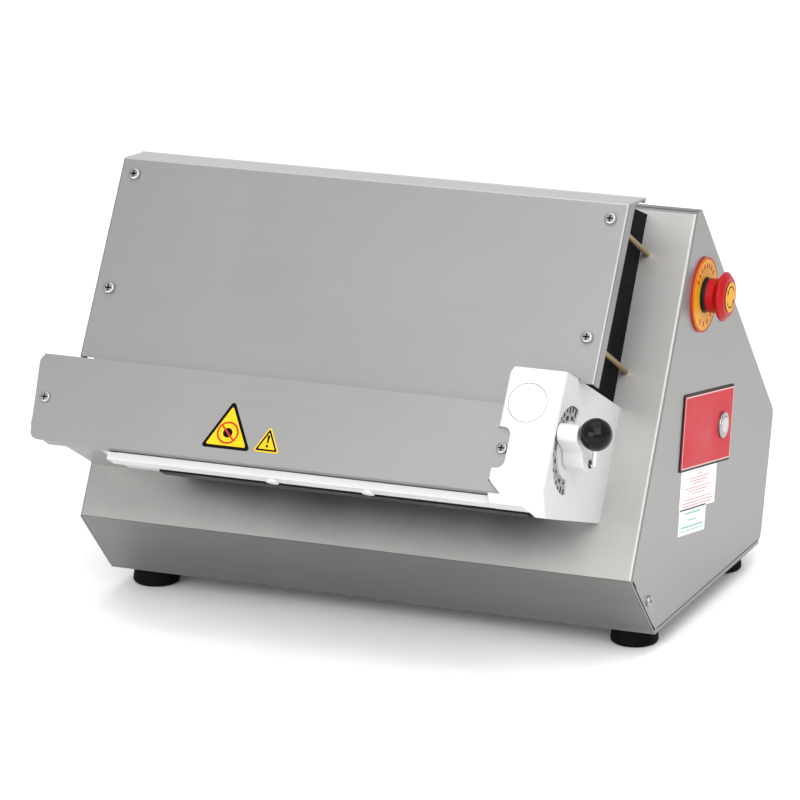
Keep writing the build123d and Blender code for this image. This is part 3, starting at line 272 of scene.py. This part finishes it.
STEEL = (0.285, 0.285, 0.282)
FINE_SHEET = {"grain": 0.012, "bump": 0.04, "smudge": 0.014, "uneven": 0.15}
MATERIALS = {
    "shell": folded_shell("shell_steel", (0.37, 0.366, 0.357), 0.42, 0.36),
    "tray": brushed("tray_steel", (0.22, 0.217, 0.21), 0.34),
    "cover": brushed("cover_steel", STEEL, 0.32),
    "plate": brushed("plate_steel", STEEL, 0.42, upward_painted_light=2.0, **FINE_SHEET),
    "guard": brushed("guard_steel", (0.292, 0.292, 0.29), 0.42, upward_painted_light=1.6, **FINE_SHEET),
    "side_cover": brushed("side_cover_steel", STEEL, 0.34, along="Z"),
    "zinc": turned("zinc_steel", (0.34, 0.34, 0.34), 0.26, "Z"),
    "white": moulded("white_polymer", (0.50, 0.50, 0.498), 0.42, bump=0.05, mottling=0.012),
    "white_cap": moulded("white_cap_polymer", (0.58, 0.58, 0.58), 0.34, bump=0.04, mottling=0.01),
    "chrome": turned("ground_chrome", (0.72, 0.72, 0.72), 0.10),
    "bearing": turned("bearing_steel", (0.55, 0.55, 0.56), 0.22),
    "machined": turned("machined_steel", (0.50, 0.50, 0.50), 0.30),
    "gear": turned("oiled_gear_steel", (0.20, 0.20, 0.21), 0.34),
    "brass": turned("dull_brass", (0.36, 0.26, 0.15), 0.40, "Y"),
    "bronze": turned("sintered_bronze", (0.42, 0.28, 0.15), 0.42),
    "cast": moulded("cast_aluminium", (0.55, 0.56, 0.57), 0.45, 500.0, 0.25, 0.06, 1.0),
    "motor": moulded("motor_enamel", (0.10, 0.12, 0.14), 0.35, 600.0, 0.12, 0.05),
    "grey": moulded("grey_plastic", (0.38, 0.39, 0.40), 0.45),
    "dial": moulded("dial_plastic", (0.26, 0.26, 0.255), 0.5),
    "black": moulded(
        "black_plastic", (0.003, 0.003, 0.003), 0.12, 300.0, 0.02, 0.10, Specular_IOR_Level=0.15
    ),
    # Matt black on the chute side panels stands in for the shade behind the feed plate: painted shade.
    "shade_panel": moulded("black_panel_painted_shade", (0.003, 0.003, 0.003), 0.80, 500.0, 0.10, 0.10, Specular_IOR_Level=0.1),
    "matt": moulded("black_matt_plastic", (0.006, 0.006, 0.006), 0.50, bump=0.10, Specular_IOR_Level=0.25),
    "red": moulded(
        "red_plastic", (0.33, 0.002, 0.005), 0.34, bump=0.05, mottling=0.05, Specular_IOR_Level=0.22
    ),
    "yellow": moulded("yellow_plastic", (0.64, 0.30, 0.012), 0.45, mottling=0.05, Specular_IOR_Level=0.2),
    "overlay": moulded("red_overlay", (0.47, 0.018, 0.030), 0.5, 1500.0, 0.05, 0.02, Specular_IOR_Level=0.2),
    "rubber": moulded("foot_rubber", (0.002, 0.002, 0.002), 0.70, 700.0, 0.30, 0.10, Specular_IOR_Level=0.08),
    "belt": moulded("belt_rubber", (0.014, 0.014, 0.014), 0.55, 700.0, 0.25, 0.10),
    "board": moulded("board_green", (0.02, 0.13, 0.06), 0.35, 1200.0, 0.10, 0.10),
    # Black for print, and for painted shade in the screw recesses, the joints and along the dial window.
    "ink_and_shade": moulded("black_ink_and_shade", (0.002, 0.002, 0.002), 0.50, bump=0.02, Specular_IOR_Level=0.06),
    "sign": moulded(
        "sign_yellow", (0.57, 0.38, 0.006), 0.38, bump=0.02, mottling=0.02, Specular_IOR_Level=0.15
    ),
    "sign_red": moulded("sign_red", (0.38, 0.02, 0.008), 0.45, bump=0.02, Specular_IOR_Level=0.2),
    "label": moulded("label_white", (0.88, 0.88, 0.88), 0.40, bump=0.02, mottling=0.01),
    "label_red": moulded("label_red_print", (0.55, 0.20, 0.20), 0.45, bump=0.02),
    "label_green": moulded("label_green_print", (0.15, 0.42, 0.35), 0.45, bump=0.02),
    "pale": moulded("pale_border", (0.60, 0.42, 0.41), 0.45, bump=0.02),
}

NODE_MATERIALS = {
    "shell": ["housing_shell"],
    "tray": ["base_tray"],
    "cover": ["rear_cover"],
    "plate": ["feed_guard_plate"],
    "guard": ["roller_guard"],
    "side_cover": ["drive_cover"],
    "zinc": [
        "foot_screws", "side_screws", "rear_cover_screws", "plate_screws", "guard_screws",
        "end_block_bolts", "motor_bolts", "motor_bracket", "start_bezel",
    ],
    "white": ["front_rail", "right_end_block", "left_end_block", "lever_hub"],
    "white_cap": ["round_cap"],
    "chrome": ["rear_roller", "front_roller", "lever_rod"],
    "bearing": ["rear_bearings", "front_bearings"],
    "machined": ["right_carriage", "left_carriage", "lever_shaft", "output_shaft", "start_button"],
    "gear": ["rear_roller_gear", "front_roller_gear"],
    "brass": ["plate_standoffs"],
    "bronze": ["shaft_bush"],
    "cast": ["gearbox", "roller_pulley", "motor_pulley", "capacitor"],
    "motor": ["motor", "fan_cowl"],
    "grey": ["panel_nuts", "contact_blocks", "control_box"],
    "dial": ["scale_dial"],
    "black": ["ball_knob"],
    "matt": [
        "rod_grommet", "estop_collar", "estop_stem", "cable_gland", "control_frame", "contactor",
        "front_scraper", "rear_scraper",
    ],
    "shade_panel": ["chute_side_panels"],
    "red": ["estop_head"],
    "yellow": ["estop_legend"],
    "overlay": ["control_overlay"],
    "rubber": ["rubber_feet"],
    "belt": ["drive_belt"],
    "board": ["circuit_board"],
}
for key, names in NODE_MATERIALS.items():
    for name in names:
        slots = NODES[name].data.materials
        slots.clear()
        slots.append(MATERIALS[key])


# ---- printed and applied pieces, and painted shade -------------------------------------------
class Piece:
    """Mesh built up from extruded outlines in one local frame, millimetres."""

    def __init__(self, name, matrix):
        self.name, self.matrix = name, matrix
        self.mesh, self.keys = bmesh.new(), []

    def index(self, key):
        """Material number of a key, added when it is new."""
        if key not in self.keys:
            self.keys.append(key)
        return self.keys.index(key)

    def prism(self, outline, low, high, key):
        """Closed outline, extruded from low to high."""
        bottom = [self.mesh.verts.new((x, y, low)) for x, y in outline]
        top = [self.mesh.verts.new((x, y, high)) for x, y in outline]
        faces = [self.mesh.faces.new(top), self.mesh.faces.new(bottom[::-1])]
        for i in range(len(outline)):
            j = (i + 1) % len(outline)
            faces.append(self.mesh.faces.new((bottom[i], bottom[j], top[j], top[i])))
        for face in faces:
            face.material_index = self.index(key)

    def band(self, inner, outer, low, high, key, closed=True):
        """Area between two outlines of equal count, extruded from low to high."""
        rows = [[self.mesh.verts.new((x, y, z)) for x, y in line]
                for line, z in ((inner, low), (outer, low), (outer, high), (inner, high))]
        count = len(inner) if closed else len(inner) - 1
        faces = []
        for i in range(count):
            j = (i + 1) % len(inner)
            for a in range(4):
                b = (a + 1) % 4
                faces.append(self.mesh.faces.new((rows[a][i], rows[a][j], rows[b][j], rows[b][i])))
        if not closed:
            faces.append(self.mesh.faces.new([row[0] for row in rows]))
            faces.append(self.mesh.faces.new([row[-1] for row in rows][::-1]))
        for face in faces:
            face.material_index = self.index(key)

    def done(self, body):
        """Finish the mesh as an object that rides on a body."""
        bmesh.ops.recalc_face_normals(self.mesh, faces=self.mesh.faces)
        self.mesh.transform(self.matrix)
        data = bpy.data.meshes.new(self.name)
        self.mesh.to_mesh(data)
        self.mesh.free()
        for key in self.keys:
            data.materials.append(MATERIALS[key])
        made = bpy.data.objects.new(self.name, data)
        bpy.context.collection.objects.link(made)
        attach(made, body)


def polar(radius, degrees, centre=(0, 0)):
    angle = math.radians(degrees)
    return centre[0] + radius * math.cos(angle), centre[1] + radius * math.sin(angle)


def arc(radius, start, end, steps, centre=(0, 0)):
    """Points from start to end, in degrees."""
    return [polar(radius, start + (end - start) * i / steps, centre) for i in range(steps + 1)]


def circle(radius, centre=(0, 0), steps=48):
    return arc(radius, 0, 360, steps, centre)[:-1]


def rounded(corners, radius, steps=6):
    """Polygon with rounded corners, counter-clockwise."""
    points, count = [], len(corners)
    for i in range(count):
        here = Vector(corners[i])
        a = (Vector(corners[i - 1]) - here).normalized()
        b = (Vector(corners[(i + 1) % count]) - here).normalized()
        half = a.angle(b) / 2
        middle = here + (a + b).normalized() * (radius / math.sin(half))
        first, last = here + a * radius / math.tan(half), here + b * radius / math.tan(half)
        turn = (first - middle).angle_signed(last - middle)
        for k in range(steps + 1):
            spoke = first - middle
            spoke.rotate(Matrix.Rotation(-turn * k / steps, 2))
            points.append(tuple(middle + spoke))
    return points


def rectangle(width, height, centre=(0, 0)):
    x, y = width / 2, height / 2
    cx, cy = centre
    return [(cx - x, cy - y), (cx + x, cy - y), (cx + x, cy + y), (cx - x, cy + y)]


def inset_triangle(corners, amount):
    """Corners moved inward so that every side moves by amount."""
    centre = sum((Vector(c) for c in corners), Vector((0, 0))) / 3
    moved = []
    for i, corner in enumerate(corners):
        here = Vector(corner)
        a = (Vector(corners[i - 1]) - here).normalized()
        b = (Vector(corners[(i + 1) % 3]) - here).normalized()
        half = a.angle(b) / 2
        moved.append(tuple(here + (centre - here).normalized() * (amount / math.sin(half))))
    return moved


def warning_signs():
    """Two plain triangles on the guard, drawn without words."""
    big = [(-85.0, 9.6), (-42.4, 9.6), (-64.1, 50.0)]
    sign = Piece("warning_sign_large", GUARD_FRAME)
    sign.prism(rounded(big, 2.2), 0.02, INK, "ink_and_shade")
    sign.prism(rounded(inset_triangle(big, 2.5), 1.0), INK, INK * 1.6, "sign")
    middle = (-64.1, 22.8)
    sign.band(circle(7.7, middle), circle(9.2, middle), INK * 1.6, INK * 2.2, "sign_red")
    sign.prism(circle(4.0, middle, 24), INK * 1.6, INK * 2.0, "ink_and_shade")
    bar = [(middle[0] + x, middle[1] + y) for x, y in ((-5.9, 4.9), (4.9, -5.9), (5.9, -4.9), (-4.9, 5.9))]
    sign.prism(bar, INK * 2.0, INK * 2.6, "sign_red")
    sign.done("housing")

    small = [(-40.2, 10.4), (-17.8, 10.4), (-29.0, 32.2)]
    sign = Piece("warning_sign_small", GUARD_FRAME)
    sign.prism(rounded(small, 1.6), 0.02, INK, "sign")
    inner, outer = rounded(inset_triangle(small, 2.5), 0.5), rounded(inset_triangle(small, 1.1), 0.8)
    sign.band(inner, outer, INK, INK * 1.6, "ink_and_shade")
    stroke = [(-29.6, 17.9), (-28.4, 17.9), (-27.9, 24.4), (-30.1, 24.4)]
    sign.prism(stroke, INK, INK * 1.6, "ink_and_shade")
    sign.prism(circle(1.1, (-29.0, 15.6), 16), INK, INK * 1.6, "ink_and_shade")
    sign.done("housing")


def info_labels():
    """Plain labels with rows of plain bars in place of words; each row is its width, place and thickness."""
    label = Piece("info_label_upper", cheek_frame(*UPPER_LABEL, turn=PANEL_TURN))
    label.prism(rounded(rectangle(90.0, 33.0), 0.6), 0.02, INK, "label")
    rows = (
        (60, 14.3, 0.35), (12, 11.6, 0.9), (52, 8.6, 0.9), (44, 6.2, 0.9), (26, 3.8, 0.9), (66, 0.6, 0.9),
        (50, -1.8, 0.9), (30, -4.2, 0.9), (70, -8.4, 0.9), (78, -11.2, 0.9), (74, -13.6, 0.9),
    )
    for width, y, thick in rows:
        label.prism(rectangle(width, thick, (0, y)), INK, INK * 1.4, "label_red")
    for y in (5.0, -6.4, -15.4):
        label.prism(rectangle(88, 0.25, (0, y)), INK, INK * 1.3, "label_red")
    label.done("housing")

    label = Piece("info_label_lower", cheek_frame(*LOWER_LABEL, turn=PANEL_TURN))
    label.prism(rounded(rectangle(67.0, 21.4), 0.6), 0.02, INK, "label")
    rows = (
        (64, 9.2, 0.3), (38, 6.6, 1.5), (64, 3.6, 0.3), (20, 0.8, 1.2), (64, -1.8, 0.3), (56, -4.4, 1.5),
        (60, -7.4, 0.9),
    )
    for width, y, thick in rows:
        label.prism(rectangle(width, thick, (0, y)), INK, INK * 1.4, "label_green")
    label.done("housing")


def cross(piece, centre, floor, arm):
    """Painted shade: dark fill in the lower part of a screw's cross recess."""
    for size in ((arm, arm * 0.23), (arm * 0.23, arm)):
        piece.prism(rectangle(*size, centre), floor + 0.02, floor + 0.35, "ink_and_shade")


def screw_recesses():
    """Painted shade filling the cross recesses in the screws of the plate and of the guard."""
    piece = Piece("plate_screw_recess_shade", frame_matrix(head_point(0, 0, 0), (1, 0, 0), OUT))
    tilt = math.atan2(PLATE_BOTTOM[1] - PLATE_TOP[1], PLATE_TOP[0] - PLATE_BOTTOM[0])
    floor, arm = PLATE_RECESS
    for x in PLATE_SCREWS_X:
        for along in PLATE_SCREWS_ALONG:
            u = PLATE_BOTTOM[0] + along * math.cos(tilt)
            cross(piece, (x, u), PLATE_BOTTOM[1] - along * math.sin(tilt) + floor, arm)
    piece.done("housing")

    piece = Piece("guard_screw_recess_shade", GUARD_FRAME)
    for x in GUARD_SCREWS_X:
        cross(piece, (x, GUARD_SCREW_U - GUARD_BOTTOM[0]), *GUARD_RECESS)
    piece.done("housing")


def corner_seam():
    """Joints where the right cheek meets the lower front wall and the bottom, drawn as dark strips of painted
    shade in their gaps.
    """
    knee, foot = Vector(KNEE), Vector(FRONT_FOOT)
    along, length = (foot - knee).normalized(), (foot - knee).length
    inward = Vector((-along.y, along.x))
    seam = Piece("corner_seam", cheek_frame(0, 0))
    front = [
        (2.5, 0.1), (length - 1.5, 0.1), (length - 1.5, 2.6), (length - 12, 1.5), (15, 1.5), (12, 2.7),
        (2.5, 2.7),
    ]
    seam.prism([tuple(knee + along * x + inward * y) for x, y in front], LIFT, 0.06, "ink_and_shade")
    low = FRONT_FOOT[1] + 1.7
    high = low + 0.9
    seam.prism([(3.4, low), (REAR_FOOT_Y, low), (REAR_FOOT_Y, high), (4.2, high)], LIFT, 0.06, "ink_and_shade")
    seam.done("housing")


def estop_marks():
    """Red rim and plain dashes on the legend plate, and the disc with two turning arrows on the head."""
    face = ESTOP_LEGEND_FACE
    ring = Piece("estop_legend_print", cheek_frame(*ESTOP))
    ring.band(circle(28.9, steps=72), circle(30.3, steps=72), face - 0.05, face + 0.1, "sign_red")
    ring.band(circle(30.45, steps=72), circle(30.62, steps=72), 0.1, face - 0.35, "sign_red")
    for start, end, count in ((38, 142, 8), (236, 304, 4)):
        for i in range(count):
            middle = start + (end - start) * i / (count - 1)
            inner, outer = arc(21.4, middle - 3.6, middle + 3.6, 3), arc(25.6, middle - 3.0, middle + 3.0, 3)
            ring.band(inner, outer, face, face + 0.08, "sign_red", closed=False)
    ring.done("housing")

    face = ESTOP_HEAD_FACE
    low, high = face + 0.2, face + 0.3
    disc = Piece("estop_head_disc", cheek_frame(*ESTOP))
    disc.prism(circle(12.2), face + LIFT, face + 0.22, "yellow")
    for start in (20, 200):
        inner, outer = arc(8.0, start, start + 118, 14), arc(9.0, start, start + 118, 14)
        disc.band(inner, outer, low, high, "ink_and_shade", closed=False)
        tip = [polar(6.6, start + 116), polar(10.4, start + 116), polar(8.5, start + 140)]
        disc.prism(tip, low, high, "ink_and_shade")
    disc.done("estop_head")


def overlay_border():
    """Thin pale line round the red panel."""
    width, height = OVERLAY_SIZE
    line = Piece("overlay_border", cheek_frame(*OVERLAY_CENTRE, turn=PANEL_TURN))
    outer = rounded(rectangle(width - 0.6, height - 0.6), 1.4)
    inner = rounded(rectangle(width - 2.6, height - 2.6), 0.8)
    line.band(inner, outer, OVERLAY_FACE, OVERLAY_FACE + 0.08, "pale")
    line.done("housing")


def number_mesh(number):
    """Flat mesh of a plain number, centred on its origin."""
    text = bpy.data.curves.new("number", "FONT")
    text.body = str(number)
    text.size, text.extrude, text.offset = 6.8, 0.04, 0.34
    text.align_x, text.align_y = "CENTER", "CENTER"
    holder = bpy.data.objects.new("number", text)
    bpy.context.collection.objects.link(holder)
    bpy.context.view_layer.update()
    mesh = bpy.data.meshes.new_from_object(holder.evaluated_get(bpy.context.evaluated_depsgraph_get()))
    bpy.data.objects.remove(holder)
    return mesh


def dial_marks():
    """Ticks and plain numbers on the thickness scale, and a painted shadow along the window's outer edge."""
    marks = Piece("dial_marks", frame_matrix((DIAL_FACE_X, LEVER.y, LEVER.z), (0, 1, 0), (1, 0, 0)))
    # Painted shadow: dark band where the window's edge shades the dial.
    marks.band(arc(34.0, 42, 264, 60), arc(35.4, 42, 264, 60), LIFT, 0.06, "ink_and_shade", closed=False)
    for i in range(18):
        turn = Matrix.Rotation(math.radians(50 + 12.2 * i), 2)
        inner, outer, half = 28.6 if i % 2 == 0 else 30.2, 34.2, 1.25
        tick = [(inner, -half), (outer, -half), (outer, half), (inner, half)]
        marks.prism([tuple(turn @ Vector(p)) for p in tick], LIFT, 0.1, "ink_and_shade")
    for i in range(9):
        degrees = 62 + 24.4 * (8 - i)
        shape = number_mesh(i + 1)
        shape.transform(
            Matrix.Translation((*polar(25.4, degrees), 0.06))
            @ Matrix.Rotation(math.radians(degrees) - math.pi, 4, "Z")
        )
        before = len(marks.mesh.faces)
        marks.mesh.from_mesh(shape)
        marks.mesh.faces.ensure_lookup_table()
        for face in marks.mesh.faces[before:]:
            face.material_index = marks.index("ink_and_shade")
    marks.done("housing")


warning_signs()
info_labels()
screw_recesses()
corner_seam()
estop_marks()
overlay_border()
dial_marks()

# ---- floor, light and camera -----------------------------------------------------------------
bpy.ops.mesh.primitive_plane_add(size=60.0, location=(0, 0, -0.0002))
floor = bpy.context.object
floor.name = "floor"
floor.data.materials.append(moulded("floor_white", (0.985, 0.985, 0.985), 0.75, 40.0, 0.02, 0.004))

world = bpy.data.worlds.new("studio")
world.use_nodes = True
world.node_tree.nodes["Background"].inputs["Color"].default_value = (1.0, 1.0, 1.0, 1)
world.node_tree.nodes["Background"].inputs["Strength"].default_value = 0.85
bpy.context.scene.world = world


def softbox(name, place, target, width, height, power):
    """Rectangular area light aimed at a target."""
    data = bpy.data.lights.new(name, "AREA")
    data.shape, data.size, data.size_y, data.energy = "RECTANGLE", width, height, power
    light = bpy.data.objects.new(name, data)
    light.location = place
    light.rotation_mode = "QUATERNION"
    light.rotation_quaternion = (Vector(place) - Vector(target)).to_track_quat("Z", "Y")
    bpy.context.collection.objects.link(light)


softbox("top_light", (0.2, -0.3, 2.6), (0, 0, 0.2), 2.6, 2.6, 34.0)
softbox("front_light", (-0.7, -3.0, 1.05), (0, 0, 0.2), 2.2, 1.4, 42.0)
softbox("right_light", (1.30, -1.86, 1.85), (0, 0, 0.2), 2.2, 2.2, 50.0)

AZIMUTH, ELEVATION = math.radians(22.154), math.radians(15.636)
TARGET, DISTANCE = Vector((-0.0105, -0.0172, 0.1744)), 4.091
back = Vector(
    (math.sin(AZIMUTH) * math.cos(ELEVATION), -math.cos(AZIMUTH) * math.cos(ELEVATION), math.sin(ELEVATION))
)
lens = bpy.data.cameras.new("camera")
lens.lens, lens.sensor_width = 225.6, 36.0
lens.clip_start, lens.clip_end = 0.1, 100.0
camera = bpy.data.objects.new("camera", lens)
camera.location = TARGET + back * DISTANCE
camera.rotation_mode = "QUATERNION"
camera.rotation_quaternion = back.to_track_quat("Z", "Y")
bpy.context.collection.objects.link(camera)
bpy.context.scene.camera = camera
bpy.context.scene.view_settings.view_transform = "Standard"
